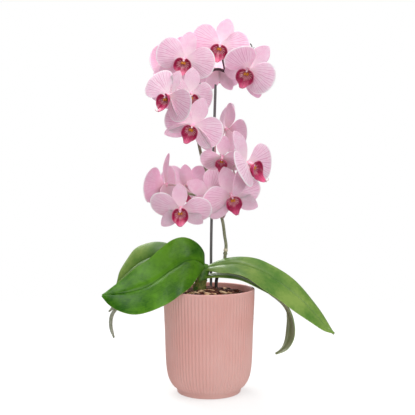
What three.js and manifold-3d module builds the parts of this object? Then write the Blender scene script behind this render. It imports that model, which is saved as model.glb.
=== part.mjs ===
// A potted moth orchid: a ribbed plastic cover pot filled with bark, and in it the plant with its
// stem, four leaves, aerial roots, support stake, flower spike and sixteen blooms.
// Millimetres, +Z up. The origin is the centre of the pot's flat bottom, and the plant's
// best side faces -Y, with +X to the right of a viewer who stands there.
import * as THREE from "three";
import { mergeVertices } from "three/addons/utils/BufferGeometryUtils.js";
import Module from "manifold-3d";

const wasm = await Module();
wasm.setup();

// ---------------------------------------------------------------- driving dimensions

const GAP = 0.3; // clearance between pieces that touch

const POT_HEIGHT = 142;
const POT_RIM_RADIUS = 62.5;
const POT_FLOOR = 4; // thickness of the bottom
const POT_WALL = 2.7;
const RIB_COUNT = 78;
const RIB_DEPTH = 0.45; // half the height from groove to crest
const FOOT_TOP = 6.4; // where the smooth foot meets the ribbed body
const FOOT_SIDES = 48;
const CAVITY_SIDES = 32;

const BARK_EDGE = POT_HEIGHT - 11; // level of the bark at the wall
const BARK_HEAP = 5; // how much higher it lies in the middle
const BARK_SIDES = 18;
const BARK_RINGS = 5;
const BARK_CHIPS = 13;
const GOLDEN_ANGLE = 2.39996; // spreads the chips evenly

const PETAL = { length: 41, spread: 0.93, raised: 2.8 }; // spread to each side, in radians
const DORSAL = { length: 38, width: 24 };
const LATERAL = { length: 41, width: 22, angle: 0.9 }; // angle from straight down
const PETAL_DOME = { rise: 4, fall: 7, wave: 0.8 }; // how a petal arches from its claw
const SEPAL_FALL = 4.5; // how far a sepal bends back towards its tip
const TEPAL_THICKNESS = 0.8;
const HUB_RADIUS = 3.6;
const COLUMN_RADIUS = 2.2;
const LIP_THICKNESS = 0.9;

const LEAF_THICKNESS = 1.8;
const SPIKE_RADIUS = 2.4;
const BRANCH_RADIUS = 1.7;
const PEDICEL_RADIUS = 1.3;
const TIP_RADIUS = 1.1;
const NODE = { radius: 3.2, at: [23.4, 26, 190] }; // the swollen joint low on the spike
const STAKE_RADIUS = 2;

// ---------------------------------------------------------------- colours

const COLOUR = {
  pot: 0xd8b4ac,
  bark: 0x553926,
  stem: 0x5c6b33,
  leaf: 0x4f7a32,
  root: 0x90927e,
  stake: 0x656661,
  spike: 0x7c7f5e,
  bloom: 0xf2c8dd,
  lip: 0xb0305c,
};

// ---------------------------------------------------------------- small helpers

const vec = (x, y, z) => new THREE.Vector3(x, y, z);

function curveOf(points) {
  return new THREE.CatmullRomCurve3(points.map((p) => vec(...p)), false, "centripetal");
}

// Repeatable draws in 0..1.
function randomFrom(seed) {
  let state = seed;
  return () => {
    state = (state * 1664525 + 1013904223) % 4294967296;
    return state / 4294967296;
  };
}

function solidFrom(geometry) {
  const bare = geometry.clone();
  bare.deleteAttribute("normal");
  bare.deleteAttribute("uv");
  const merged = mergeVertices(bare, 1e-4);
  return new wasm.Manifold(
    new wasm.Mesh({
      numProp: 3,
      vertProperties: new Float32Array(merged.attributes.position.array),
      triVerts: new Uint32Array(merged.index.array),
    }),
  );
}

function geometryFrom(solid) {
  const mesh = solid.getMesh();
  const geometry = new THREE.BufferGeometry();
  geometry.setAttribute("position", new THREE.BufferAttribute(mesh.vertProperties, 3));
  geometry.setIndex(new THREE.BufferAttribute(mesh.triVerts, 1));
  geometry.computeVertexNormals();
  return geometry;
}

function union(solids) {
  return solids.reduce((whole, next) => whole.add(next));
}

function lathe(profile, sides) {
  const points = profile.map(([r, z]) => new THREE.Vector2(r, z));
  return solidFrom(new THREE.LatheGeometry(points, sides).rotateX(Math.PI / 2));
}

function ball(radius, at, sides = 6) {
  const geometry = new THREE.SphereGeometry(radius, sides, sides < 8 ? 3 : 4);
  return solidFrom(geometry.rotateX(Math.PI / 2).translate(...at));
}

function tube(curve, radius, sides, steps) {
  const section = new THREE.Shape();
  for (let i = 0; i < sides; i++) {
    const turn = (2 * Math.PI * i) / sides;
    section[i ? "lineTo" : "moveTo"](radius * Math.cos(turn), radius * Math.sin(turn));
  }
  section.closePath();
  return solidFrom(
    new THREE.ExtrudeGeometry(section, { steps, extrudePath: curve, bevelEnabled: false }),
  );
}

// A stalk whose radius changes along its curve, closed at both ends.
function stalk(path, radii, sides) {
  const curve = curveOf(path);
  const steps = radii.length - 1;
  const frames = curve.computeFrenetFrames(steps, false);
  const position = [];
  radii.forEach((radius, i) => {
    const centre = curve.getPointAt(i / steps);
    for (let k = 0; k < sides; k++) {
      const turn = (2 * Math.PI * k) / sides;
      const point = centre.clone().addScaledVector(frames.normals[i], radius * Math.cos(turn));
      position.push(...point.addScaledVector(frames.binormals[i], radius * Math.sin(turn)).toArray());
    }
  });
  const indices = [];
  for (let k = 0; k < sides; k++) {
    const next = (k + 1) % sides;
    for (let i = 0; i < steps; i++) {
      const a = i * sides;
      const b = a + sides;
      indices.push(a + k, a + next, b + next, a + k, b + next, b + k);
    }
    if (k === 0 || next === 0) continue;
    const last = steps * sides;
    indices.push(0, next, k, last, last + k, last + next);
  }
  const geometry = new THREE.BufferGeometry();
  geometry.setAttribute("position", new THREE.Float32BufferAttribute(position, 3));
  geometry.setIndex(indices);
  return solidFrom(geometry);
}

// A thin blade from rows of points on its mid surface. Rows may differ in length, and a row
// of one point is a tip. Both faces are split alike and lie half a thickness off the rows.
function blade(rows, thickness) {
  const points = rows.flat();
  const faces = [];
  let start = 0;
  for (let i = 0; i + 1 < rows.length; i++) {
    const here = rows[i].length - 1;
    const next = rows[i + 1].length - 1;
    const after = start + here + 1;
    let a = 0;
    let b = 0;
    while (a < here || b < next) {
      const stepHere = b === next || (a < here && (a + 1) / here <= (b + 1) / next);
      const third = stepHere ? start + a + 1 : after + b + 1;
      faces.push([start + a, third, after + b]);
      if (stepHere) a++;
      else b++;
    }
    start = after;
  }
  const normals = points.map(() => vec(0, 0, 0));
  for (const [a, b, c] of faces) {
    const side = points[b].clone().sub(points[a]);
    side.cross(points[c].clone().sub(points[a]));
    for (const corner of [a, b, c]) normals[corner].add(side);
  }
  const edges = new Map();
  for (const face of faces) {
    face.forEach((from, k) => edges.set(from + ">" + face[(k + 1) % 3], [from, face[(k + 1) % 3]]));
  }
  const count = points.length;
  const indices = [];
  for (const [a, b, c] of faces) indices.push(a, b, c, a + count, c + count, b + count);
  for (const [from, to] of edges.values()) {
    if (edges.has(to + ">" + from)) continue;
    indices.push(from, from + count, to + count, from, to + count, to);
  }
  const position = [];
  for (const half of [thickness / 2, -thickness / 2]) {
    points.forEach((p, i) => {
      position.push(...p.clone().addScaledVector(normals[i].clone().normalize(), half).toArray());
    });
  }
  const geometry = new THREE.BufferGeometry();
  geometry.setAttribute("position", new THREE.Float32BufferAttribute(position, 3));
  geometry.setIndex(indices);
  return solidFrom(geometry);
}

// ---------------------------------------------------------------- pot and bark

// The ribbed outside: radius and height of each level, and how much of the rib's depth it has.
const BODY_LEVELS = [
  [45.3, FOOT_TOP - 0.4, 0.4],
  [50.8, 12, 1],
  [55.6, 22, 1],
  [58.3, 38, 1],
  [POT_RIM_RADIUS - 0.3, POT_HEIGHT - 6, 1],
  [POT_RIM_RADIUS, POT_HEIGHT, 0],
];

function ribbedBody() {
  const around = RIB_COUNT * 2;
  const position = [];
  for (const [radius, z, share] of BODY_LEVELS) {
    for (let i = 0; i < around; i++) {
      const turn = (2 * Math.PI * i) / around;
      const r = radius + (i % 2 ? -1 : 1) * RIB_DEPTH * share;
      position.push(r * Math.cos(turn), r * Math.sin(turn), z);
    }
  }
  const top = BODY_LEVELS.length - 1;
  const bottomCentre = position.length / 3;
  position.push(0, 0, BODY_LEVELS[0][1]);
  position.push(0, 0, POT_HEIGHT);
  const indices = [];
  for (let i = 0; i < around; i++) {
    const next = (i + 1) % around;
    for (let level = 0; level < top; level++) {
      const a = level * around;
      const b = a + around;
      indices.push(a + i, a + next, b + next, a + i, b + next, b + i);
    }
    indices.push(bottomCentre, next, i);
    indices.push(bottomCentre + 1, top * around + i, top * around + next);
  }
  const geometry = new THREE.BufferGeometry();
  geometry.setAttribute("position", new THREE.Float32BufferAttribute(position, 3));
  geometry.setIndex(indices);
  return solidFrom(geometry);
}

// The inside wall, from the floor up; it also bounds the bark.
const CAVITY = [
  [41.5, POT_FLOOR],
  [47.6, 13],
  [52.4, 23],
  [55.4, 40],
  [POT_RIM_RADIUS - POT_WALL, POT_HEIGHT - 1],
];

function pot() {
  const foot = lathe(
    [[0, 0], [42.6, 0], [43.6, 0.9], [44.3, FOOT_TOP - 0.5], [44.3, FOOT_TOP], [0, FOOT_TOP]],
    FOOT_SIDES,
  );
  const mouth = POT_RIM_RADIUS - POT_WALL + 0.5;
  const inside = lathe(
    [[0, POT_FLOOR], ...CAVITY, [mouth, POT_HEIGHT + 1], [0, POT_HEIGHT + 1]],
    CAVITY_SIDES,
  );
  return ribbedBody().add(foot).subtract(inside);
}

// Bark fills the pot and is heaped in the middle, with bigger chips lying on it.
function bark() {
  const draw = randomFrom(11);
  const wall = CAVITY.slice(0, -1).map(([r, z]) => [r - GAP - 0.4, z + GAP]);
  const edge = POT_RIM_RADIUS - POT_WALL - 1.2;
  const topAt = (radius) => BARK_EDGE + BARK_HEAP * (1 - (radius / edge) ** 2);
  const rings = [...wall, [edge, BARK_EDGE - 2]];
  for (let k = BARK_RINGS - 1; k > 0; k--) {
    const radius = (edge * k) / BARK_RINGS;
    rings.push([radius, topAt(radius)]);
  }
  const position = [];
  rings.forEach(([radius, z], level) => {
    for (let i = 0; i < BARK_SIDES; i++) {
      const turn = (2 * Math.PI * i) / BARK_SIDES;
      const lump = level >= wall.length ? 4 * (draw() - 0.5) : 0;
      position.push(radius * Math.cos(turn), radius * Math.sin(turn), z + lump);
    }
  });
  const last = rings.length - 1;
  const centre = position.length / 3;
  position.push(0, 0, POT_FLOOR + GAP, 0, 0, BARK_EDGE + BARK_HEAP);
  const indices = [];
  for (let i = 0; i < BARK_SIDES; i++) {
    const next = (i + 1) % BARK_SIDES;
    for (let level = 0; level < last; level++) {
      const a = level * BARK_SIDES;
      const b = a + BARK_SIDES;
      indices.push(a + i, a + next, b + next, a + i, b + next, b + i);
    }
    indices.push(centre, next, i);
    indices.push(centre + 1, last * BARK_SIDES + i, last * BARK_SIDES + next);
  }
  const bed = new THREE.BufferGeometry();
  bed.setAttribute("position", new THREE.Float32BufferAttribute(position, 3));
  bed.setIndex(indices);
  let whole = solidFrom(bed);
  for (let i = 0; i < BARK_CHIPS; i++) {
    const turn = i * GOLDEN_ANGLE;
    const reach = (edge - 9) * Math.sqrt((i + 0.5) / BARK_CHIPS);
    const chip = new THREE.BoxGeometry(10 + 8 * draw(), 6 + 4 * draw(), 4 + 2 * draw());
    chip.rotateX(0.9 * (draw() - 0.5)).rotateY(0.9 * (draw() - 0.5)).rotateZ(6 * draw());
    chip.translate(reach * Math.cos(turn), reach * Math.sin(turn), topAt(reach) + 0.8);
    whole = whole.add(solidFrom(chip));
  }
  return whole;
}

// ---------------------------------------------------------------- stem, roots and stake

const STEM_PATH = [[-14, 3, 116], [-13, 3, 134], [-12, 4, 149], [-9, 6, 163], [-6, 8, 175]];
const STEM_RADII = [7, 8.4, 8.2, 7.2, 8.2, 8.4, 5.2];

function stemBase(grow = 0) {
  return stalk(STEM_PATH, STEM_RADII.map((r) => r + grow), 9);
}

const ROOT_PATHS = {
  aerial_root_long: [
    [-12, 2, 155], [-30, -6, 156], [-52, -8, 154], [-76, -8, 147],
    [-104, -8, 133], [-122, -8, 120], [-132, -8, 107], [-134, -8, 92], [-130, -8, 76],
  ],
  aerial_root_short: [
    [-12, 8, 152], [-32, 7, 154], [-54, 6, 153], [-80, 5, 147],
    [-108, 3, 135], [-126, 2, 121], [-137, 1, 110],
  ],
};

const ROOT_RADII = [2.2, 2.6, 2.7, 2.7, 2.7, 2.7, 2.8, 2.8, 2.6, 2.7, 2.4, 1.4];

function aerialRoot(path) {
  return stalk(path, ROOT_RADII, 6);
}

const STAKE_LINE = [[3.2, 28, 30], [3.2, 28, 206], [5.5, 28, 300], [9.2, 28, 423]];

function stake(grow = 0) {
  return tube(curveOf(STAKE_LINE), STAKE_RADIUS + grow, 8, 4);
}

// ---------------------------------------------------------------- leaves

// Each leaf hangs between three hand-laid lines from stem to tip: its far edge, its midrib
// and its near edge.
const LEAVES = {
  leaf_front_left: {
    far: [
      [-8, 12, 172], [-7, 12, 189], [-17, 11, 204], [-33, 10, 211], [-50, 6, 208], [-65, 0, 198],
      [-80, -9, 184], [-99, -20, 172], [-116, -31, 158], [-131, -42, 147], [-142, -50, 140],
    ],
    rib: [
      [-6, 4, 171], [-16, -8, 181], [-29, -14, 182], [-40, -18, 176], [-54, -24, 168],
      [-68, -30, 158], [-84, -36, 149], [-104, -42, 143], [-124, -47, 141], [-142, -50, 140],
    ],
    near: [
      [-8, -4, 168], [-15, -26, 161], [-25, -43, 149], [-38, -57, 141], [-56, -64, 130],
      [-75, -68, 122], [-97, -68, 118], [-116, -63, 121], [-131, -56, 129], [-142, -50, 140],
    ],
  },
  leaf_back_left: {
    far: [
      [-10, 16, 166], [-30, 38, 186], [-54, 48, 198], [-81, 52, 201], [-103, 53, 193],
      [-118, 52, 176], [-128, 48, 157], [-132, 42, 140],
    ],
    rib: [
      [-12, 12, 164], [-30, 25, 176], [-54, 32, 183], [-80, 35, 182], [-101, 37, 172],
      [-116, 39, 158], [-126, 41, 148], [-132, 42, 140],
    ],
    near: [
      [-14, 8, 160], [-30, 14, 165], [-54, 14, 167], [-80, 15, 161], [-100, 20, 152],
      [-115, 28, 144], [-126, 36, 140], [-132, 42, 140],
    ],
  },
  leaf_right_long: {
    far: [
      [-4, 13, 170], [17, 20, 179], [41, 25, 183], [64, 29, 180], [86, 29, 172],
      [108, 26, 159], [130, 20, 140], [151, 10, 114], [165, -4, 91], [171, -18, 82],
    ],
    rib: [
      [-4, 7, 168], [18, 8, 173], [41, 9, 174], [63, 9, 168], [84, 8, 158],
      [105, 6, 144], [126, 2, 127], [146, -5, 106], [160, -12, 90], [171, -18, 82],
    ],
    near: [
      [-4, 0, 166], [11, -8, 165], [29, -14, 164], [52, -17, 158], [75, -18, 142],
      [98, -18, 126], [118, -20, 112], [138, -22, 98], [155, -22, 88], [171, -18, 82],
    ],
  },
  leaf_right_hanging: {
    far: [
      [-9, 12, 156], [14, 20, 159], [38, 27, 159], [62, 32, 151], [86, 33, 136],
      [105, 31, 117], [110, 28, 95], [108, 24, 74], [102, 18, 57], [91, 8, 48],
    ],
    rib: [
      [-9, 7, 155], [14, 8, 160], [38, 8, 158], [62, 8, 148], [86, 8, 133],
      [105, 8, 116], [113, 8, 95], [112, 8, 75], [105, 8, 58], [91, 8, 48],
    ],
    near: [
      [-9, 1, 154], [14, -8, 158], [37, -13, 156], [61, -15, 147], [86, -14, 134],
      [107, -12, 117], [116, -10, 96], [116, -7, 75], [108, -1, 57], [91, 8, 48],
    ],
  },
};

// Points of a leaf: u runs 0..1 from stem to tip, v runs -1..1 from far edge to near edge.
function leafPoint(lines, u, v) {
  const rib = lines.rib.getPoint(u);
  const edge = (v < 0 ? lines.far : lines.near).getPoint(u);
  return rib.lerp(edge, Math.abs(v));
}

function leaf(name) {
  const shape = LEAVES[name];
  const lines = { far: curveOf(shape.far), rib: curveOf(shape.rib), near: curveOf(shape.near) };
  const rows = [];
  const along = 13;
  for (let i = 0; i < along; i++) {
    const u = i / along;
    rows.push([-1, -0.5, 0, 0.5, 1].map((v) => leafPoint(lines, u, v)));
  }
  rows.push([lines.rib.getPoint(1)]);
  return blade(rows, LEAF_THICKNESS);
}

// ---------------------------------------------------------------- blooms

// Where each bloom's heart is, how it is turned (degrees: yaw to the viewer's right, pitch
// up, roll with the top to the right), where its pedicel leaves the spike and what it passes,
// and how large it and its sepals are beside a full bloom. Its left and right petal, top sepal
// and two low sepals may each be turned, leaned forward and twisted (degrees), and its lip
// twisted, tilted forward, and wider than on the other blooms.
const BLOOMS = [
  {
    at: [15.4, 13, 475.2], yaw: 0, pitch: -1, roll: 19, twist: 7, tilt: 2, lip: 1.12,
    from: [22, 20, 440], left: [-2, 14, 0], right: [12, 0, 0], low: [-14, -30, 0],
  },
  {
    at: [-32, -8, 453], yaw: -6, pitch: 0, roll: 11, tilt: 7, lip: 1.12, from: [-14, 15, 420],
    left: [12, 0, 0], right: [-3, 0, 0],
  },
  {
    at: [53.6, -14, 438.8], yaw: -16, pitch: -3, roll: 38, size: 1.04, twist: 24, tilt: 2, lip: 1.12,
    from: [36, 18, 436], left: [25, 56, 0], right: [4, 18, 0], top: [-4, 0, 0],
    low: [0, -20, 0],
  },
  {
    at: [-49.5, -58, 400], yaw: -42, pitch: 0, roll: 32, size: 1.04, twist: 34, tilt: 20, sepals: 0.85,
    from: [-16, 12, 352], via: [-38, -28, 370],
    left: [8, 0, 30], right: [-5, 2, 0], top: [22, -12, 0], low: [0, 0, 50],
  },
  {
    at: [-24.9, -29.5, 404.7], yaw: 16, pitch: 0, roll: 8, size: 0.92, from: [-19, 13, 388],
    right: [-2, -20, 0], low: [0, -8, 0],
  },
  {
    at: [-20, -48, 362], yaw: -6, pitch: 0, roll: 20, size: 0.99, from: [-14, 13, 340],
    left: [6, -4, 4], right: [-5, 0, 0], low: [0, 0, 40],
  },
  {
    at: [24, 20, 361], yaw: 125, pitch: 0, roll: -24, from: [9, 18, 324],
    left: [3, 8, 0], right: [32, 22, 0],
  },
  {
    at: [18, -14, 323], yaw: -6, pitch: -28, roll: 8, size: 0.76, from: [8, 17, 314],
    left: [-28, 0, 0], right: [-12, 0, 0],
  },
  {
    at: [47, -48, 313], yaw: 54, pitch: 3, roll: -22, size: 1.17, twist: 4, tilt: 10,
    from: [36, -6, 297], left: [4, 23, 16], right: [-19, 14, 0],
  },
  {
    at: [29, -26, 271], yaw: 7, pitch: -4, roll: -14, from: [18, 22.6, 237], via: [24, 6, 236],
    left: [-3, 12, -28], right: [-2, 0, -28],
  },
  {
    at: [-37, -48, 254], yaw: -4, pitch: -3, roll: -4, tilt: 20, sepals: 0.85,
    from: [-34, 18, 272], via: [-47, 4, 274], left: [15, 0, -38], right: [-8, 0, -36],
  },
  {
    at: [-58.5, 4, 284], yaw: -104, pitch: 0, roll: 5, size: 1.14, tilt: 20, from: [-36, 18, 272],
    right: [6, 22, 12], top: [0, -1, 0],
  },
  {
    at: [-33, 56, 282], yaw: 165, pitch: 0, roll: 0, sepals: 0.8, from: [-24, 18, 270],
    left: [20, 0, 0], right: [20, 0, 0],
  },
  { at: [0, 10, 272], yaw: 8, pitch: 0, roll: -62, size: 0.88, from: [8, 20, 266] },
  { at: [-45, 34, 453], yaw: -155, pitch: 0, roll: -10, from: [-20, 14, 403] },
  {
    at: [15, 36, 444], yaw: 180, pitch: 0, roll: 0, size: 0.8, tilt: 25, from: [4, 20, 441],
    left: [-20, 0, 0], right: [-20, 0, 0], top: [0, 60, 0], low: [20, 0, 0],
  },
];
const AS_GROWN = [0, 0, 0];

function bloomMatrix({ at, yaw, pitch, roll, size = 1 }) {
  const rad = THREE.MathUtils.degToRad;
  return new THREE.Matrix4()
    .makeTranslation(...at)
    .multiply(new THREE.Matrix4().makeRotationZ(rad(yaw)))
    .multiply(new THREE.Matrix4().makeRotationX(rad(90 - pitch)))
    .multiply(new THREE.Matrix4().makeRotationZ(rad(-roll)))
    .multiply(new THREE.Matrix4().makeScale(size, size, size));
}

// A bloom is laid out facing +Z with its top towards +Y, its heart at the origin. A tepal is
// drawn along +X and turned to its place in the bloom's face.
function standing(turn, [, lean, twist]) {
  const rad = THREE.MathUtils.degToRad;
  return new THREE.Matrix4()
    .makeRotationZ(turn)
    .multiply(new THREE.Matrix4().makeRotationY(-rad(lean)))
    .multiply(new THREE.Matrix4().makeRotationX(-rad(twist)));
}

// Petals are broad fans from a narrow claw. Across the fan q runs from -1 at its lower side
// to 1 at its upper side, and the reach of the edge falls off towards both.
function petalReach(q) {
  return 0.42 + 0.58 * (1 - Math.abs(q) ** 2.2) ** 0.55;
}

function petalPoint(ring, q) {
  const turn = q * PETAL.spread;
  const far = ring * petalReach(q);
  const wave = PETAL_DOME.wave * far * far * Math.sin(3 * turn);
  const height = PETAL_DOME.rise * far - PETAL_DOME.fall * far * far + wave;
  const reach = far * PETAL.length;
  return vec(reach * Math.cos(turn), reach * Math.sin(turn), height);
}

function petal(side, bloom) {
  const pose = (side > 0 ? bloom.right : bloom.left) ?? AS_GROWN;
  const rows = [[-1, 1].map((v) => vec(0, v, 0))];
  for (const [ring, cuts] of [[0.5, 2], [1, 4]]) {
    const row = [];
    for (let k = -cuts; k <= cuts; k++) {
      row.push(petalPoint(ring, Math.sin(((Math.PI / 2) * k) / cuts)));
    }
    rows.push(row);
  }
  const matrix = new THREE.Matrix4()
    .makeScale(side, 1, 1)
    .multiply(new THREE.Matrix4().makeTranslation(0, 0, PETAL.raised))
    .multiply(standing(THREE.MathUtils.degToRad(pose[0]), pose));
  for (const row of rows) {
    for (const point of row) point.applyMatrix4(matrix);
    if (side < 0) row.reverse();
  }
  return blade(rows, TEPAL_THICKNESS);
}

// Sepals are narrower, oval, and lie behind the petals.
function sepal(form, turn, pose, bloom) {
  const size = bloom.sepals ?? 1;
  const length = form.length * size;
  const rows = [[-1, 1].map((v) => vec(0, v, 0))];
  for (const t of [0.36, 0.8]) {
    const half = size * (form.width / 2) * Math.sin(Math.PI * t ** 1.12) ** 0.64;
    const height = t - SEPAL_FALL * t * t;
    rows.push([-1, 0, 1].map((v) => vec(length * t, v * half, height + 0.008 * (v * half) ** 2)));
  }
  rows.push([vec(length, 0, 1 - SEPAL_FALL)]);
  const matrix = standing(turn + THREE.MathUtils.degToRad(pose[0]), pose);
  for (const point of rows.flat()) point.applyMatrix4(matrix);
  return blade(rows, TEPAL_THICKNESS);
}

// The heart that carries the tepals, with the column that stands out of it.
function heart() {
  const column = curveOf([[0, 0, 1], [0, -0.6, 6], [0, -4, 10]]);
  return ball(HUB_RADIUS, [0, 0, 1]).add(tube(column, COLUMN_RADIUS, 5, 2));
}

function tepals(bloom) {
  const up = Math.PI / 2;
  const low = bloom.low ?? AS_GROWN;
  return union([
    heart().rotate([0, 0, bloom.twist ?? 0]),
    sepal(DORSAL, up, bloom.top ?? AS_GROWN, bloom),
    sepal(LATERAL, -up - LATERAL.angle, low, bloom),
    sepal(LATERAL, -up + LATERAL.angle, [-low[0], low[1], -low[2]], bloom),
    petal(1, bloom),
    petal(-1, bloom),
  ]);
}

// The lip is a cup open at the top, under the column: two lobes that stand up at the sides
// of the column and a pointed tongue in front. Each point of its edge is given by its turn
// from +X, its reach from the foot and its height.
const LIP_FOOT = { y: -5.9, z: 6, radius: 1.3 };
const LIP_EDGE = [
  [38, 5.9, 14.5], [17, 9, 15], [-14, 11.8, 14], [-37, 13.8, 13], [-59, 15.2, 12.5],
  [-80, 17.5, 14], [-90, 20.5, 16],
];

function lipPoint(turn, reach, height) {
  const angle = THREE.MathUtils.degToRad(turn);
  return vec(reach * Math.cos(angle), LIP_FOOT.y + reach * Math.sin(angle), height);
}

function lip({ twist = 0, tilt = 0, lip: width = 1 }) {
  const mirrored = LIP_EDGE.slice(0, -1).reverse().map(([turn, r, z]) => [-180 - turn, r, z]);
  const columns = [...LIP_EDGE, ...mirrored];
  const ring = (share, cuts) => {
    const row = [];
    for (let k = 0; k < cuts; k++) {
      const [turn, reach, height] = columns[Math.round((k * (columns.length - 1)) / (cuts - 1))];
      const r = LIP_FOOT.radius + (reach - LIP_FOOT.radius) * share;
      const z = LIP_FOOT.z + (height - LIP_FOOT.z) * share ** 1.3;
      row.push(lipPoint(turn, r, z));
    }
    return row.reverse();
  };
  const cup = blade([ring(0, 4), ring(0.6, 7), ring(1, 13)], LIP_THICKNESS);
  const callus = ball(1.9, [0, LIP_FOOT.y - 1.2, LIP_FOOT.z + 0.6], 5);
  return cup
    .add(callus)
    .scale([width, 1, 1])
    .translate([0, -LIP_FOOT.y, -LIP_FOOT.z])
    .rotate([-tilt, 0, 0])
    .translate([0, LIP_FOOT.y, LIP_FOOT.z])
    .rotate([0, 0, twist]);
}

// ---------------------------------------------------------------- flower spike

const SPIKE_PATH = [
  [10, 26, 112], [10, 26, 140], [11, 26, 152], [15, 26, 162], [21, 26, 174], [23, 26, 188],
  [24, 26, 198], [22, 25, 212], [19, 23, 233], [10, 20, 262], [-1, 18, 297], [-10, 16, 322],
  [-16, 12, 352], [-21, 12, 384], [-18, 14, 411], [-7, 18, 433], [6, 20, 442], [14, 20, 443],
  [22, 20, 440], [35, 18, 436],
];
const BRANCH_PATHS = [
  [[1, 19, 292], [14, 20, 298], [29, 14, 300], [37, -7, 297]],
  [[0, 18, 292], [4, 17, 304], [8, 17, 314], [9, 18, 325]],
  [[11, 20, 258], [-6, 18, 264], [-22, 18, 270], [-38, 18, 273]],
];
const TIP_PATH = [[35, 18, 436], [47, 19, 443], [56, 19, 456], [60, 19, 469], [58, 19, 477]];

function spikeStem(grow = 0) {
  return tube(curveOf(SPIKE_PATH), SPIKE_RADIUS + grow, 6, 26);
}

// A pedicel bows out from the spike and comes to its bloom's heart from behind.
function pedicel(bloom) {
  const matrix = bloomMatrix(bloom);
  const end = vec(0, 0, 1 - HUB_RADIUS - GAP).applyMatrix4(matrix);
  const behind = vec(0, 0, -22).applyMatrix4(matrix);
  const start = vec(...bloom.from);
  if (!bloom.via) return tube(new THREE.QuadraticBezierCurve3(start, behind, end), PEDICEL_RADIUS, 5, 3);
  const curve = new THREE.CubicBezierCurve3(start, vec(...bloom.via), behind, end);
  return tube(curve, PEDICEL_RADIUS, 5, 5);
}

function flowerSpike() {
  const parts = [spikeStem()];
  for (const path of BRANCH_PATHS) parts.push(tube(curveOf(path), BRANCH_RADIUS, 6, 3));
  parts.push(tube(curveOf(TIP_PATH), TIP_RADIUS, 5, 4));
  parts.push(ball(NODE.radius, NODE.at));
  for (const bloom of BLOOMS) parts.push(pedicel(bloom));
  return union(parts);
}

// ---------------------------------------------------------------- assembly

const orchid = new THREE.Group();

function place(name, solid, colour, roughness) {
  const material = new THREE.MeshStandardMaterial({ color: colour, roughness, metalness: 0 });
  const mesh = new THREE.Mesh(geometryFrom(solid), material);
  mesh.name = name;
  orchid.add(mesh);
  return mesh;
}

const spikeSolid = flowerSpike();
const stemRoom = stemBase(GAP);

place("pot", pot(), COLOUR.pot, 0.6);
const barkSolid = bark()
  .subtract(stemRoom)
  .subtract(stake(GAP))
  .subtract(spikeStem(GAP));
place("bark", barkSolid, COLOUR.bark, 0.95);
place("stem_base", stemBase(), COLOUR.stem, 0.6);
place("stake", stake(), COLOUR.stake, 0.5);
place("flower_spike", spikeSolid, COLOUR.spike, 0.5);
for (const [name, path] of Object.entries(ROOT_PATHS)) {
  place(name, aerialRoot(path).subtract(stemRoom), COLOUR.root, 0.7);
}
for (const name of Object.keys(LEAVES)) {
  place(name, leaf(name).subtract(stemRoom), COLOUR.leaf, 0.35);
}
BLOOMS.forEach((bloom, i) => {
  const number = String(i + 1).padStart(2, "0");
  const matrix = bloomMatrix(bloom).elements;
  place("bloom_" + number, tepals(bloom).transform(matrix), COLOUR.bloom, 0.55);
  place("lip_" + number, lip(bloom).transform(matrix), COLOUR.lip, 0.5);
});

export default orchid;
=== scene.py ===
# A moth orchid in flower, planted in bark in a ribbed plastic cover pot.
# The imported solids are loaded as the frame, and finer pieces of the same form take their place.
# Lengths in this file are millimetres unless a name says otherwise; Blender gets metres.
import math
import random

import bpy
from mathutils import Euler, Matrix, Vector, noise


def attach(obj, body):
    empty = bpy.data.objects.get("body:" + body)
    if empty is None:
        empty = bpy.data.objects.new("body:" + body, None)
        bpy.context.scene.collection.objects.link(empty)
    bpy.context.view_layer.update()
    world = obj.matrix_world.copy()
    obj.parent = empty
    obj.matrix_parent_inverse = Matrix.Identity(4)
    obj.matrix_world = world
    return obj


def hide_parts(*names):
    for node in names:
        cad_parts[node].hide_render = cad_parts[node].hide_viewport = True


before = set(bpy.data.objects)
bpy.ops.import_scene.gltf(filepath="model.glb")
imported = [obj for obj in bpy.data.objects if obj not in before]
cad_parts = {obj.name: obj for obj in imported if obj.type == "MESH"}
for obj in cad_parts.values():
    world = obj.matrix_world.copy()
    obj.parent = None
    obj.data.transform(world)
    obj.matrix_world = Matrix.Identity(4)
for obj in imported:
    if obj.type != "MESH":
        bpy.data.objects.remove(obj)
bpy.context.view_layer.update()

MM = 0.001
scene = bpy.context.scene

# ------------------------------------------------------------------ sizes

POT_HEIGHT = 142
RIB_COUNT = 78
RIB_DEPTH = 0.45
STEPS_PER_RIB = 8
PETAL = {"length": 41, "spread": 0.93, "raised": 2.8}
DOME = {"rise": 4, "fall": 7, "wave": 0.8}
DORSAL = {"length": 38, "width": 24}
LATERAL = {"length": 41, "width": 22, "angle": 0.9}
SEPAL_FALL = 4.5
TEPAL_THICKNESS = 0.7
LIP_THICKNESS = 0.8
HUB_RADIUS = 3.6
SMOOTH_BELOW = 50  # degrees between faces that are shaded as one

# Photograph's camera: 796 px focal length on a 415 px frame.
CAMERA_AT = (-2, -1086.5, 300.3)
CAMERA_DOWN = 2.5
LENS_MM = 69.07

# Studio: strength of the surround, each softbox's place, size (metres) and watts, and the point
# that they all face.
AMBIENT = 0.32
SOFTBOXES = (
    ("overhead_softbox", (0.1, -0.2, 1.22), 0.8, 10.2),
    ("camera_softbox", (0.45, -1.6, 0.5), 0.5, 7),
    ("back_softbox", (-0.45, 0.9, 0.98), 0.9, 16),
)
LIT = Vector((0, 0, 0.25))

# ------------------------------------------------------------------ modelling helpers


def select_only(*objects):
    bpy.ops.object.select_all(action="DESELECT")
    for obj in objects:
        obj.select_set(True)
    if objects:
        bpy.context.view_layer.objects.active = objects[0]


def apply_modifiers(obj):
    select_only(obj)
    for modifier in list(obj.modifiers):
        bpy.ops.object.modifier_apply(modifier=modifier.name)


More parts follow.
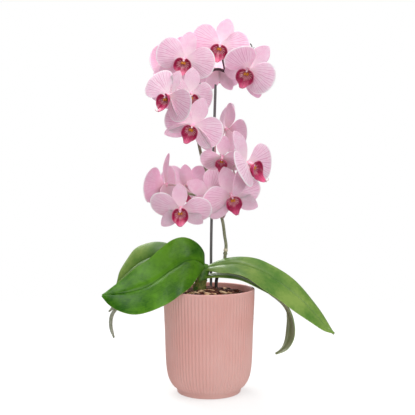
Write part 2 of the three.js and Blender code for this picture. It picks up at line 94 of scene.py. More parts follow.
def joined(name, pieces):
    select_only(*pieces)
    if len(pieces) > 1:
        bpy.ops.object.join()
    whole = bpy.context.view_layer.objects.active
    whole.name = name
    whole.data.name = name
    return whole


def settle(obj, slot, *nodes):
    """Smooths a finished piece, seats it on the plant's one body and lets it stand for its solids."""
    select_only(obj)
    bpy.ops.object.shade_smooth_by_angle(angle=math.radians(SMOOTH_BELOW))
    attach(obj, "root")
    if nodes:
        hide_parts(*nodes)
    return obj


def smooth_line(points, count):
    """Points along the centripetal curve through given points."""
    laid = [Vector(p) for p in points]
    last = len(laid) - 1
    line = []
    for k in range(count):
        t = last * k / (count - 1)
        i = min(int(t), last - 1)
        w = t - i
        p1, p2 = laid[i], laid[i + 1]
        p0 = laid[i - 1] if i else 2 * p1 - p2
        p3 = laid[i + 2] if i + 2 <= last else 2 * p2 - p1
        d0, d1, d2 = (max(math.sqrt((b - a).length), 1e-4) for a, b in ((p0, p1), (p1, p2), (p2, p3)))
        m1 = ((p1 - p0) / d0 - (p2 - p0) / (d0 + d1) + (p2 - p1) / d1) * d1
        m2 = ((p2 - p1) / d1 - (p3 - p1) / (d1 + d2) + (p3 - p2) / d2) * d1
        line.append(p1 + m1 * w + (3 * (p2 - p1) - 2 * m1 - m2) * w**2 + (2 * (p1 - p2) + m1 + m2) * w**3)
    return line


def sheet(rows, thickness, materials, thin_edge=None):
    """A blade laid through rows of points: a primitive grid moved onto them and made solid.
    The grid's own UV map runs across the rows and along the blade."""
    across, along = len(rows[0]), len(rows)
    select_only()
    bpy.ops.mesh.primitive_grid_add(x_subdivisions=across - 1, y_subdivisions=along - 1, size=1)
    blade = bpy.context.object
    points = [p for row in rows for p in row]
    for vertex, point in zip(blade.data.vertices, points, strict=True):
        vertex.co = point * MM
    for material in materials:
        blade.data.materials.append(material)
    solid = blade.modifiers.new("thickness", "SOLIDIFY")
    solid.thickness = thickness * MM
    solid.offset = 0
    solid.material_offset = len(materials) - 1
    if thin_edge is not None:
        group = blade.vertex_groups.new(name="body")
        for i in range(len(points)):
            v = 2 * (i % across) / (across - 1) - 1
            group.add([i], 1 - abs(v) ** 3, "REPLACE")
        solid.vertex_group = "body"
        solid.thickness_vertex_group = thin_edge
    apply_modifiers(blade)
    return blade


def stem(points, radii, material, sides=14):
    """A round stem along points, with a radius at each, closed at both ends."""
    curve = bpy.data.curves.new("stem", "CURVE")
    curve.dimensions = "3D"
    curve.bevel_depth = MM
    curve.bevel_resolution = max(0, sides // 4 - 1)
    curve.use_fill_caps = True
    spline = curve.splines.new("POLY")
    spline.points.add(len(points) - 1)
    for place, point, radius in zip(spline.points, points, radii):
        place.co = (*(Vector(point) * MM), 1)
        place.radius = radius
    obj = bpy.data.objects.new("stem", curve)
    scene.collection.objects.link(obj)
    select_only(obj)
    bpy.ops.object.convert(target="MESH")
    obj = bpy.context.object
    obj.data.materials.clear()
    obj.data.materials.append(material)
    return obj


def turned(name, rings, sides, material):
    """A body of revolution: a circle extruded and resized from ring to ring, closed at both ends."""
    select_only()
    radius, z = rings[0]
    bpy.ops.mesh.primitive_circle_add(vertices=sides, radius=radius * MM, location=(0, 0, 0))
    body = bpy.context.object
    body.name = name
    bpy.ops.object.mode_set(mode="EDIT")
    bpy.ops.transform.translate(value=(0, 0, z * MM))
    bpy.ops.mesh.edge_face_add()
    bpy.ops.mesh.select_mode(type="FACE")
    bpy.ops.mesh.select_all(action="SELECT")
    for next_radius, next_z in rings[1:]:
        rise = (0, 0, (next_z - z) * MM)
        bpy.ops.mesh.extrude_region_move(TRANSFORM_OT_translate={"value": rise})
        grow = next_radius / radius
        bpy.ops.transform.resize(value=(grow, grow, 1))
        radius, z = next_radius, next_z
    bpy.ops.mesh.select_all(action="SELECT")
    bpy.ops.mesh.normals_make_consistent(inside=False)
    bpy.ops.object.mode_set(mode="OBJECT")
    body.data.materials.append(material)
    return body


# ------------------------------------------------------------------ materials


def linear(hex_colour):
    """An sRGB hex colour as linear RGBA."""
    channels = [int(hex_colour[i : i + 2], 16) / 255 for i in (1, 3, 5)]
    return (*(c / 12.92 if c <= 0.04045 else ((c + 0.055) / 1.055) ** 2.4 for c in channels), 1)


def add(tree, kind, inputs=None, **settings):
    """Adds a shader node with its settings. An input is given a number, a hex colour, a socket,
    or a whole node, whose first output in use is then linked."""
    made = tree.nodes.new("ShaderNode" + kind)
    if kind == "Mix":
        made.data_type = "RGBA"
    for key, value in settings.items():
        setattr(made, key, value)
    for socket, value in (inputs or {}).items():
        if isinstance(value, bpy.types.Node):
            value = next(out for out in value.outputs if out.enabled)
        if isinstance(value, bpy.types.NodeSocket):
            tree.links.new(value, made.inputs[socket])
        else:
            made.inputs[socket].default_value = linear(value) if isinstance(value, str) else value
    return made


def ramp(tree, value, start=0.0, end=1.0, low=0.0, high=1.0):
    """A value that runs from low to high between start and end, and stays level beyond them."""
    inputs = {"Value": value, "From Min": start, "From Max": end, "To Min": low, "To Max": high}
    return add(tree, "MapRange", inputs)


def calc(tree, operation, *values):
    """A sum on one to three values."""
    return add(tree, "Math", dict(enumerate(values)), operation=operation)


FACTOR, MIX_A, MIX_B = 0, 6, 7  # the Mix node's inputs for colours


def new_material(name):
    material = bpy.data.materials.new(name)
    material.use_nodes = True
    tree = material.node_tree
    tree.nodes.clear()
    return material, tree


def shade(tree, inputs):
    """The surface's own shader, joined to the output."""
    surface = add(tree, "BsdfPrincipled", inputs)
    add(tree, "OutputMaterial", {"Surface": surface})


def blade_axes(tree):
    """Where a point lies across a blade and along it, 0 to 1 each, and in the object."""
    axes = add(tree, "SeparateXYZ", {0: add(tree, "UVMap")})
    return axes.outputs[0], axes.outputs[1], add(tree, "TexCoord").outputs["Object"]


def waves(tree, across, noise_by, drift, count):
    """A sine across a blade, with as many half waves as the count, that wanders with a noise."""
    drifted = calc(tree, "MULTIPLY_ADD", noise_by, drift, across)
    phase = calc(tree, "MULTIPLY", drifted, count * math.pi)
    return calc(tree, "SINE", phase)


def off_middle(tree, across):
    """How far a point is from a blade's middle line, as a share of the width."""
    side = calc(tree, "SUBTRACT", across, 0.5)
    return calc(tree, "ABSOLUTE", side)


def layered(tree, colour, layers):
    """A colour with others laid over it in turn, each by its own share."""
    for share, over in layers:
        colour = add(tree, "Mix", {FACTOR: share, MIX_A: colour, MIX_B: over})
    return colour


def petal_material(name, body, vein, rim, throat, vein_share, roughness):
    """Living petal: soft, faintly waxy skin over pale flesh. Veins run from the claw to the edge
    and double on the way, the edge is thin and paler, and the throat is warm."""
    material, tree = new_material(name)
    across, along, place = blade_axes(tree)
    # 6 mm cloudiness, veins that wander over 9 mm, and cells of 0.7 mm
    cloud = add(tree, "TexNoise", {"Vector": place, "Scale": 160.0, "Detail": 3.0})
    wander = add(tree, "TexNoise", {"Vector": place, "Scale": 110.0, "Detail": 2.0})
    cells = add(tree, "TexNoise", {"Vector": place, "Scale": 1400.0, "Detail": 1.0})
    lines = []
    for count, start, end in ((17, 0.02, 0.25), (34, 0.4, 0.75)):
        size = calc(tree, "ABSOLUTE", waves(tree, across, wander, 0.03, count))
        line = ramp(tree, size, 0.5, 0.0)
        fade = ramp(tree, along, start, end)
        lines.append(calc(tree, "MULTIPLY", line, fade))
    veins = calc(tree, "MAXIMUM", lines[0], lines[1])
    paler = ramp(tree, along, 0.75, 1.0, low=1.0, high=0.25)
    shown = calc(tree, "MULTIPLY", veins, paler)
    share = calc(tree, "MULTIPLY", shown, vein_share)
    cloudy = ramp(tree, cloud, 0.35, 0.75, high=0.35)
    warmth = ramp(tree, along, 0.34, 0.1)
    edge = ramp(tree, along, 0.94, 0.99, high=0.85)
    colour = layered(tree, body, ((cloudy, rim), (share, vein), (warmth, throat), (edge, rim)))
    relief = calc(tree, "MULTIPLY_ADD", veins, -0.7, cells)
    bump = add(tree, "Bump", {"Height": relief, "Strength": 0.22, "Distance": 0.0006})
    shade(tree, {
        "Base Color": colour, "Roughness": roughness, "IOR": 1.4, "Normal": bump,
        "Subsurface Weight": 0.5, "Subsurface Radius": (1.0, 0.6, 0.75), "Subsurface Scale": 0.004,
        "Sheen Weight": 0.12, "Sheen Roughness": 0.5,
    })
    return material


def lip_material():
    """Lip of the flower: waxy flesh, deep crimson on the side lobes and paler pink down the
    tongue. Its foot is greyish pink with red stripes. It is firmer and glossier than a petal."""
    material, tree = new_material("orchid_lip_waxy_flesh")
    across, along, place = blade_axes(tree)
    # 2.5 mm mottling
    mottle = add(tree, "TexNoise", {"Vector": place, "Scale": 400.0, "Detail": 3.0})
    wave = waves(tree, across, mottle, 0.05, 34)
    stripes = ramp(tree, wave, -0.2, 0.7)
    shades = ramp(tree, mottle, 0.35, 0.65)
    flesh = add(tree, "Mix", {FACTOR: shades, MIX_A: "#9C0E42", MIX_B: "#C02860"})
    up = ramp(tree, along, 0.3, 0.52)
    distance = off_middle(tree, across)
    middle = ramp(tree, distance, 0.17, 0.06)
    outward = ramp(tree, along, 0.5, 0.92)
    tongue = calc(tree, "MULTIPLY", middle, outward)
    keel = ramp(tree, distance, 0.02, 0.0, high=0.55)
    rim = ramp(tree, along, 0.88, 1.0, high=0.55)
    colour = layered(tree, "#E6A9B4", (
        (stripes, "#A9234C"), (up, flesh), (tongue, "#E85C8C"), (keel, "#98153F"), (rim, "#D8799F"),
    ))
    bump = add(tree, "Bump", {"Height": mottle, "Strength": 0.2, "Distance": 0.0005})
    shade(tree, {
        "Base Color": colour, "Roughness": 0.36, "IOR": 1.45, "Normal": bump,
        "Subsurface Weight": 0.1, "Subsurface Radius": (1.0, 0.25, 0.35), "Subsurface Scale": 0.0012,
    })
    return material


def speckled_material(name, body, spot, scale, low, high, roughness, relief=0.2, subsurface=0.0):
    """A body colour with softer spots of another, whose size comes from the scale (per metre)."""
    material, tree = new_material(name)
    place = add(tree, "TexCoord").outputs["Object"]
    spots = add(tree, "TexNoise", {"Vector": place, "Scale": scale, "Detail": 4.0})
    share = ramp(tree, spots, low, high)
    colour = add(tree, "Mix", {FACTOR: share, MIX_A: body, MIX_B: spot})
    bump = add(tree, "Bump", {"Height": spots, "Strength": relief, "Distance": 0.0006})
    shade(tree, {
        "Base Color": colour, "Roughness": roughness, "Normal": bump,
        "Subsurface Weight": subsurface, "Subsurface Scale": 0.0015,
    })
    return material


def leaf_material(name, deep, fresh, rib, roughness, specular, coat):
    """Thick orchid leaf: a waxy cuticle over green flesh, with patches of fresher green, faint
    parallel veins that the light picks out, a darker midrib and a paler margin."""
    material, tree = new_material(name)
    across, along, place = blade_axes(tree)
    # 45 mm patches of lighter green, and 5 mm mottling
    patches = add(tree, "TexNoise", {"Vector": place, "Scale": 22.0, "Detail": 2.0})
    mottle = add(tree, "TexNoise", {"Vector": place, "Scale": 210.0, "Detail": 4.0})
    tone = calc(tree, "MULTIPLY_ADD", mottle, 0.3, patches)
    share = ramp(tree, tone, 0.5, 0.8)
    size = calc(tree, "ABSOLUTE", waves(tree, across, patches, 0.03, 26))
    veins = ramp(tree, size, 0.35, 0.0, high=0.16)
    distance = off_middle(tree, across)
    midrib = ramp(tree, distance, 0.02, 0.004, high=0.5)
    margin = ramp(tree, distance, 0.482, 0.5, high=0.5)
    base = ramp(tree, along, 0.1, 0.0, high=0.5)
    colour = layered(tree, deep, (
        (share, fresh), (veins, rib), (midrib, deep), (margin, rib), (base, deep),
    ))
    relief = calc(tree, "MULTIPLY_ADD", veins, 2.0, mottle)
    bump = add(tree, "Bump", {"Height": relief, "Strength": 0.16, "Distance": 0.0008})
    gloss = ramp(tree, mottle, low=roughness - 0.06, high=roughness + 0.1)
    shade(tree, {
        "Base Color": colour, "Roughness": gloss, "IOR": 1.45, "Normal": bump,
        "Specular IOR Level": specular, "Coat Weight": coat, "Coat Roughness": 0.22,
    })
    return material


def pot_material():
    """Polypropylene, injection moulded and coloured right through: an even satin skin with a
    very fine spark-eroded grain."""
    material, tree = new_material("polypropylene_moulded_satin")
    place = add(tree, "TexCoord").outputs["Object"]
    # the grain is about 0.3 mm; drawn at 0.6 mm so that it shows
    grain = add(tree, "TexNoise", {"Vector": place, "Scale": 1600.0, "Detail": 2.0})
    flow = add(tree, "TexNoise", {"Vector": place, "Scale": 14.0, "Detail": 2.0})
    share = ramp(tree, flow, 0.3, 0.7)
    colour = add(tree, "Mix", {FACTOR: share, MIX_A: "#E5A79E", MIX_B: "#EBB8B0"})
    skin = ramp(tree, grain, low=0.4, high=0.5)
    bump = add(tree, "Bump", {"Height": grain, "Strength": 0.12, "Distance": 0.0003})
    shade(tree, {
        "Base Color": colour, "Roughness": skin, "IOR": 1.49, "Normal": bump,
        "Specular IOR Level": 0.9,
        "Subsurface Weight": 0.1, "Subsurface Radius": (1.0, 0.5, 0.4), "Subsurface Scale": 0.003,
    })
    return material


def spike_material():
    """Flower stem: smooth green skin that turns dark purple-brown towards the flowers. Its foot
    is painted dark brown as shade, where it passes under the leaves."""
    material, tree = new_material("orchid_spike_green_to_purple_skin")
    place = add(tree, "TexCoord").outputs["Object"]
    height = add(tree, "SeparateXYZ", {0: place}).outputs[2]
    # 3.3 mm mottling
    mottle = add(tree, "TexNoise", {"Vector": place, "Scale": 300.0, "Detail": 3.0})
    share = ramp(tree, mottle, 0.35, 0.7)
    high = ramp(tree, height, 0.3, 0.4)
    # painted shade: the foot turns dark brown below where it passes under the leaves
    low = ramp(tree, height, 0.175, 0.155)
    colour = layered(tree, "#7E8262", ((share, "#A3A587"), (high, "#3E2430"), (low, "#2E2A26")))
    bump = add(tree, "Bump", {"Height": mottle, "Strength": 0.15, "Distance": 0.0005})
    shade(tree, {"Base Color": colour, "Roughness": 0.42, "Normal": bump})
    return material


POT_PLASTIC = pot_material()
BARK_DARK = speckled_material(
    "pine_bark_weathered", "#31180F", "#7A4029", 260.0, 0.35, 0.7, 0.9, relief=0.9)
BARK_TAN = speckled_material(
    "pine_bark_fresh_split", "#A6734A", "#E3C49C", 240.0, 0.3, 0.65, 0.85, relief=0.7)
STEM_GREEN = speckled_material(
    "orchid_stem_green_skin", "#3A6A18", "#6C9A38", 180.0, 0.35, 0.7, 0.5, subsurface=0.05)
SHEATH_DRY = speckled_material(
    "dry_leaf_base_papery", "#465A22", "#84863E", 300.0, 0.3, 0.7, 0.8, relief=0.6)
ROOT_SKIN = speckled_material(
    "aerial_root_velamen", "#7C8067", "#B4B6A6", 170.0, 0.3, 0.7, 0.75, relief=0.45)
STAKE_PLASTIC = speckled_material(
    "polyamide_rod_extruded", "#56585A", "#6D6C69", 500.0, 0.3, 0.7, 0.45)
SPIKE_SKIN = spike_material()
PEDICEL_SKIN = speckled_material(
    "orchid_pedicel_pink_green_skin", "#B58E92", "#D9BDC2", 350.0, 0.3, 0.7, 0.45, subsurface=0.1)
BRACT_PAPER = speckled_material(
    "dry_bract_papery", "#E4DCC4", "#B8A988", 400.0, 0.45, 0.75, 0.7)
COLUMN_WAX = speckled_material(
    "orchid_column_waxy_pink", "#F7C3D3", "#E789AE", 330.0, 0.4, 0.7, 0.4, subsurface=0.2)
CAP_WHITE = speckled_material(
    "orchid_anther_cap_waxy", "#FBE9EE", "#EFA9C2", 500.0, 0.5, 0.7, 0.35, subsurface=0.1)
CALLUS_YELLOW = speckled_material(
    "orchid_callus_yellow_spotted", "#E3A02C", "#B1441F", 900.0, 0.5, 0.62, 0.35, subsurface=0.1)
LIP_FLESH = lip_material()
PETAL_FACE = petal_material(
    "orchid_petal_face", "#F1C5D8", "#CB74A1", "#FFF3F8", "#FADCE6", 0.68, 0.5)
PETAL_BACK = petal_material(
    "orchid_petal_back", "#EEBFD3", "#DA96B7", "#FAE6EF", "#E9BFCB", 0.4, 0.55)
# Two copies of one leaf skin that differ in lightness as painted light: the darker copy paints shade on the
# front left leaf, and the lighter copy paints sheen on the other leaves.
LEAF_FACE_PAINTED_SHADE = leaf_material(
    "orchid_leaf_waxy_face_darker_painted_shade", "#245804", "#5A9216", "#7FA33C", 0.28, 0.18, 0.04)
LEAF_FACE_PAINTED_SHEEN = leaf_material(
    "orchid_leaf_waxy_face_lighter_painted_sheen", "#4A7A1C", "#829F44", "#A5BE6C", 0.42, 0.5, 0.25)
LEAF_BACK = leaf_material(
    "orchid_leaf_matt_underside", "#6E7B52", "#8D9470", "#A9AE8C", 0.55, 0.5, 0.1)

# ------------------------------------------------------------------ pot

# Radius and height of the pot's rings, up the outside and down the inside.
FOOT_RINGS = [(41, 0), (42.4, 0), (43.2, 0.35), (43.7, 1.1), (44.1, 3.4), (44.3, 5.8), (44.6, 6.1)]
BODY_LINE = [(45.3, 6.2), (50.8, 12), (55.6, 22), (58.3, 38), (60.1, 85), (62.2, 136)]
RIM_RINGS = [
    (62.45, 139), (62.5, 140.8), (62.35, 141.6), (61.9, 142), (60.6, 142), (60.1, 141.6), (59.8, 140.8),
]
INSIDE_LINE = [(59.6, 139.6), (57.6, 88), (55.4, 40), (52.4, 23), (47.6, 13), (41.5, 4.2)]
FLOOR_RINGS = [(38, 4), (10, 4)]
PLAIN_WITHIN = 40  # radius of the bottom, which has no ribs
RIBS = {"start": 6, "full": 11, "fade": 133, "end": 140}  # heights
INSIDE_RIBS = -0.55  # the inside ribs' depth beside the outside ones', crest to groove


def smooth_rings(line, count):
    return [(p.x, p.y) for p in smooth_line([(radius, z, 0) for radius, z in line], count)]


def clamped(value):
    return min(1, max(0, value))


def make_pot():
    """One moulded cup: a plain foot, a body with fine upright ribs that fade out under the rim,
    and an inside wall with the same ribs, softer."""
    outside = FOOT_RINGS + smooth_rings(BODY_LINE, 34) + RIM_RINGS
    inside = smooth_rings(INSIDE_LINE, 28) + FLOOR_RINGS
    sides = RIB_COUNT * STEPS_PER_RIB
    pot = turned("pot_ribbed", outside + inside, sides, POT_PLASTIC)
    for vertex in pot.data.vertices:
        x, y, z = vertex.co / MM
        radius = math.hypot(x, y)
        if radius < PLAIN_WITHIN:
            continue
        depth = RIB_DEPTH * clamped((z - RIBS["start"]) / (RIBS["full"] - RIBS["start"]))
        depth *= clamped((RIBS["end"] - z) / (RIBS["end"] - RIBS["fade"]))
        if vertex.index >= len(outside) * sides:
            depth *= INSIDE_RIBS
        move = 1 + depth * math.cos(RIB_COUNT * math.atan2(y, x)) / radius
        vertex.co.x *= move
        vertex.co.y *= move
    return settle(pot, "pot", "pot")


# ------------------------------------------------------------------ bark

BARK_EDGE = POT_HEIGHT - 11
BARK_HEAP = 5
BARK_WALL = 58.6
CHIP_COUNT = 300
CHIP_SHAPES = 7
TAN_SHARE = 0.2
GOLDEN_ANGLE = 2.39996
# The hollow's rings, and the radii of the heap's.
CAVITY_RINGS = [(41.2, 4.4), (47.2, 13.3), (52.0, 23.3), (55.0, 40.3), (57.4, 90), (BARK_WALL, BARK_EDGE - 1)]
HEAP_RADII = (56, 50, 43, 36, 29, 22, 15, 8, 3)
# Where the stem, the spike and the stake stand, and the room the chips leave each.
PLANTED = ((-13, 3, 12), (10, 26, 5), (3.2, 28, 4))


def heap_height(radius):
    return BARK_EDGE + BARK_HEAP * (1 - (radius / BARK_WALL) ** 2)


def bark_chip(seed):
    """One chip: a block, cut finer, its corners rounded and its faces broken up."""
    draw = random.Random(seed)
    select_only()
    bpy.ops.mesh.primitive_cube_add(size=1)
    chip = bpy.context.object
    size = (draw.uniform(9, 17), draw.uniform(5, 9), draw.uniform(2.2, 4.5))
    bpy.ops.object.mode_set(mode="EDIT")
    bpy.ops.transform.resize(value=tuple(s * MM for s in size))
    bpy.ops.mesh.bevel(offset=0.9 * MM, segments=1)
    bpy.ops.mesh.select_all(action="SELECT")
    bpy.ops.mesh.subdivide(number_cuts=2)
    bpy.ops.object.mode_set(mode="OBJECT")
    for vertex in chip.data.vertices:
        p = vertex.co / MM
        push = 0.9 * noise.noise_vector(p * 0.28 + Vector((seed * 7.3, 0, 0)))
        cup = -0.02 * p.x**2
        vertex.co = (p + push + Vector((0, 0, cup))) * MM
    chip.data.materials.append(BARK_DARK)
    return chip


def make_bark():
    """Bark chunks that fill the pot, heaped round the plant."""
    heap = [(radius, heap_height(radius) - 1.5) for radius in HEAP_RADII]
    bed = turned("bark_bed", CAVITY_RINGS + heap, 60, BARK_DARK)
    for vertex in bed.data.vertices:
        p = vertex.co / MM
        if p.z > BARK_EDGE - 6 and math.hypot(p.x, p.y) < 57:
            vertex.co.z += 1.6 * noise.noise(p * 0.2) * MM
    shapes = [bark_chip(seed) for seed in range(CHIP_SHAPES)]
    draw = random.Random(5)
    chips = []
    for i in range(CHIP_COUNT):
        reach = (BARK_WALL - 7) * math.sqrt((i + 0.5) / CHIP_COUNT)
        turn = i * GOLDEN_ANGLE
        x, y = reach * math.cos(turn), reach * math.sin(turn)
        if any(math.hypot(x - at_x, y - at_y) < room for at_x, at_y, room in PLANTED):
            continue
        chip = shapes[i % CHIP_SHAPES].copy()
        chip.data = chip.data.copy()
        scene.collection.objects.link(chip)
        tilt = Euler((draw.uniform(-0.5, 0.5), draw.uniform(-0.5, 0.5), draw.uniform(0, 6.28)))
        lift = heap_height(reach) + draw.uniform(-1.4, 1.6) + 3 * (1 - reach / BARK_WALL)
        size = Matrix.Scale(draw.uniform(0.6, 1.2), 4)
        place = Matrix.Translation(Vector((x, y, lift)) * MM) @ tilt.to_matrix().to_4x4() @ size
        chip.data.transform(place)
        if draw.random() < TAN_SHARE:
            chip.data.materials[0] = BARK_TAN
        chips.append(chip)
    for shape in shapes:
        bpy.data.objects.remove(shape)
    return settle(joined("bark_chunks", [bed, *chips]), "bark", "bark")


# ------------------------------------------------------------------ stem, roots and stake

STEM_PATH = [(-14, 3, 116), (-13, 3, 134), (-12, 4, 149), (-9, 6, 163), (-6, 8, 175)]
STEM_RADII = [7, 8.4, 8.2, 7.2, 8.2, 8.4, 5.2]
STEM_POINTS = 48
LEAF_SCARS = 7
# The old leaf bases: the stem point each grows from, how many points it covers, and the middle
# of its turn and its span in radians.
LEAF_BASES = ((7, 15, 2.6, 2.6), (13, 14, 5.4, 2.4), (20, 12, 3.6, 2.2), (26, 13, 0.6, 2.3))
ROOTS = {
    "aerial_root_long": [
        (-12, 2, 155), (-30, -6, 156), (-52, -8, 154), (-76, -8, 147),
        (-104, -8, 133), (-122, -8, 120), (-132, -8, 107), (-134, -8, 92), (-130, -8, 76),
    ],
    "aerial_root_short": [
        (-12, 8, 152), (-32, 7, 154), (-54, 6, 153), (-80, 5, 147),
        (-108, 3, 135), (-126, 2, 121), (-137, 1, 110),
    ],
}
ROOT_POINTS = 70
ROOT_RADII = [2.2, 2.6, 2.7, 2.7, 2.7, 2.7, 2.8, 2.8, 2.6, 2.7, 2.4, 1.4]
STAKE_RADIUS = 2.0
STAKE_LINE = [(3.2, 28, 30), (3.2, 28, 206), (5.5, 28, 300), (9.2, 28, 423)]


def eased(values, share):
    """A value between evenly spaced ones."""
    t = share * (len(values) - 1)
    i = min(int(t), len(values) - 2)
    w = t - i
    w = w * w * (3 - 2 * w)
    return values[i] * (1 - w) + values[i + 1] * w


def make_stem_base():
    """Short green stem ringed by old leaf scars, with dry papery leaf bases round its foot."""
    line = smooth_line(STEM_PATH, STEM_POINTS)
    radii = []
    for k in range(STEM_POINTS):
        share = k / (STEM_POINTS - 1)
        scar = 0.35 * math.exp(-(((share * LEAF_SCARS) % 1 - 0.5) / 0.12) ** 2)
        radii.append(eased(STEM_RADII, share) - scar)
    parts = [stem(line, radii, STEM_GREEN, sides=32)]
    for foot, height, middle, span in LEAF_BASES:
        rows = []
        for j in range(9):
            up = j / 8
            k = min(STEM_POINTS - 1, foot + round(up * height))
            radius = radii[k] + 0.5 + 1.1 * up**2
            row = []
            for i in range(25):
                side = i / 24 * 2 - 1
                turn = middle + side * span / 2 * (1 - 0.45 * up)
                ragged = radius + 1.2 * up * noise.noise(Vector((side * 4, up * 2, middle)))
                row.append(line[k] + Vector((ragged * math.cos(turn), ragged * math.sin(turn), 0)))
            rows.append(row)
        parts.append(sheet(rows, 0.5, [SHEATH_DRY]))
    return settle(joined("stem_with_leaf_bases", parts), "stem", "stem_base")


def make_roots():
    """Aerial roots: thick grey skin, a little knobbly and wavy, with a blunt tip."""
    for name, path in ROOTS.items():
        line = smooth_line(path, ROOT_POINTS)
        radii = []
        for k in range(ROOT_POINTS):
            share = k / (ROOT_POINTS - 1)
            knobs = 0.16 * noise.noise(Vector((share * 26, 4, len(path))))
            radii.append(eased(ROOT_RADII, share) * (1 + knobs))
        line = [p + Vector((0, 0, 0.5 * noise.noise(Vector((k * 0.24, 0, 9))))) for k, p in enumerate(line)]
        radii += [radii[-1] * 0.8, radii[-1] * 0.4]
        ahead = (line[-1] - line[-2]).normalized()
        line += [line[-1] + ahead * 0.8, line[-1] + ahead * 1.2]
        settle(joined(name + "_skin", [stem(line, radii, ROOT_SKIN, sides=16)]), "root", name)


def make_stake():
    """Thin flower stick with a rounded top."""
    line = smooth_line(STAKE_LINE, 40)
    radii = [STAKE_RADIUS] * 38 + [1.95, 1.6]
    settle(joined("flower_stick", [stem(line, radii, STAKE_PLASTIC, sides=16)]), "stake", "stake")


# ------------------------------------------------------------------ leaves

LEAVES = {
    "leaf_front_left": {
        "far": [
            (-8, 12, 172), (-7, 12, 189), (-17, 11, 204), (-33, 10, 211), (-50, 6, 208), (-65, 0, 198),
            (-80, -9, 184), (-99, -20, 172), (-116, -31, 158), (-131, -42, 147), (-142, -50, 140),
        ],
        "rib": [
            (-6, 4, 171), (-16, -8, 181), (-29, -14, 182), (-40, -18, 176), (-54, -24, 168),
            (-68, -30, 158), (-84, -36, 149), (-104, -42, 143), (-124, -47, 141), (-142, -50, 140),
        ],
        "near": [
            (-8, -4, 168), (-15, -26, 161), (-25, -43, 149), (-38, -57, 141), (-56, -64, 130),
            (-75, -68, 122), (-97, -68, 118), (-116, -63, 121), (-131, -56, 129), (-142, -50, 140),
        ],
    },
    "leaf_back_left": {
        "far": [
            (-10, 16, 166), (-30, 38, 186), (-54, 48, 198), (-81, 52, 201), (-103, 53, 193),
            (-118, 52, 176), (-128, 48, 157), (-132, 42, 140),
        ],
        "rib": [
            (-12, 12, 164), (-30, 25, 176), (-54, 32, 183), (-80, 35, 182), (-101, 37, 172),
            (-116, 39, 158), (-126, 41, 148), (-132, 42, 140),
        ],
        "near": [
            (-14, 8, 160), (-30, 14, 165), (-54, 14, 167), (-80, 15, 161), (-100, 20, 152),
            (-115, 28, 144), (-126, 36, 140), (-132, 42, 140),
        ],
    },
    "leaf_right_long": {
        "far": [
            (-4, 13, 170), (17, 20, 179), (41, 25, 183), (64, 29, 180), (86, 29, 172),
            (108, 26, 159), (130, 20, 140), (151, 10, 114), (165, -4, 91), (171, -18, 82),
        ],
        "rib": [
            (-4, 7, 168), (18, 8, 173), (41, 9, 174), (63, 9, 168), (84, 8, 158),
            (105, 6, 144), (126, 2, 127), (146, -5, 106), (160, -12, 90), (171, -18, 82),
        ],
        "near": [
            (-4, 0, 166), (11, -8, 165), (29, -14, 164), (52, -17, 158), (75, -18, 142),
            (98, -18, 126), (118, -20, 112), (138, -22, 98), (155, -22, 88), (171, -18, 82),
        ],
    },
    "leaf_right_hanging": {
        "far": [
            (-9, 12, 156), (14, 20, 159), (38, 27, 159), (62, 32, 151), (86, 33, 136),
            (105, 31, 117), (110, 28, 95), (108, 24, 74), (102, 18, 57), (91, 8, 48),
        ],
        "rib": [
            (-9, 7, 155), (14, 8, 160), (38, 8, 158), (62, 8, 148), (86, 8, 133),
            (105, 8, 116), (113, 8, 95), (112, 8, 75), (105, 8, 58), (91, 8, 48),
        ],
        "near": [
            (-9, 1, 154), (14, -8, 158), (37, -13, 156), (61, -15, 147), (86, -14, 134),
            (107, -12, 117), (116, -10, 96), (116, -7, 75), (108, -1, 57), (91, 8, 48),
        ],
    },
}

LEAF_ROWS, LEAF_COLUMNS = 72, 25
LEAF_THICKNESS = 1.9
LEAF_EDGE = 0.35  # the edge's thickness, as a share of the leaf's


def make_leaves():
    """Strap leaves, folded a little along a sunk midrib, each half gently arched."""
    for name, lines in LEAVES.items():
        # the last point of each line is the tip they share, so the blade stops one short of it
        far, rib, near = (smooth_line(lines[key], LEAF_ROWS + 1)[:-1] for key in ("far", "rib", "near"))
        to_right = rib[-1].x > rib[0].x
        rows = []
        for i in range(LEAF_ROWS):
            ahead = rib[min(i + 1, LEAF_ROWS - 1)] - rib[max(i - 1, 0)]
            normal = (near[i] - far[i]).cross(ahead).normalized() * (1 if to_right else -1)
            row = []
            for k in range(LEAF_COLUMNS):
                v = 2 * k / (LEAF_COLUMNS - 1) - 1
                edge = far[i] if v < 0 else near[i]
                point = rib[i].lerp(edge, abs(v))
                arch = 1.6 * abs(v) * (1 - abs(v)) * 4 * min(1, 4 * (1 - i / LEAF_ROWS))
                groove = -1.3 * math.exp(-((v / 0.07) ** 2))
                ripple = 0.5 * abs(v) ** 2 * math.sin(i * 0.35 + v)
                row.append(point + normal * (arch + groove + ripple))
            rows.append(row if to_right else row[::-1])
        # the front left leaf takes the copy darkened as painted shade, and the other leaves take the copy
        # lightened as painted sheen
        face = LEAF_FACE_PAINTED_SHADE if name == "leaf_front_left" else LEAF_FACE_PAINTED_SHEEN
        blade = sheet(rows, LEAF_THICKNESS, [face, LEAF_BACK], thin_edge=LEAF_EDGE)
        settle(joined(name + "_blade", [blade]), "leaf", name)


# ------------------------------------------------------------------ flower spike

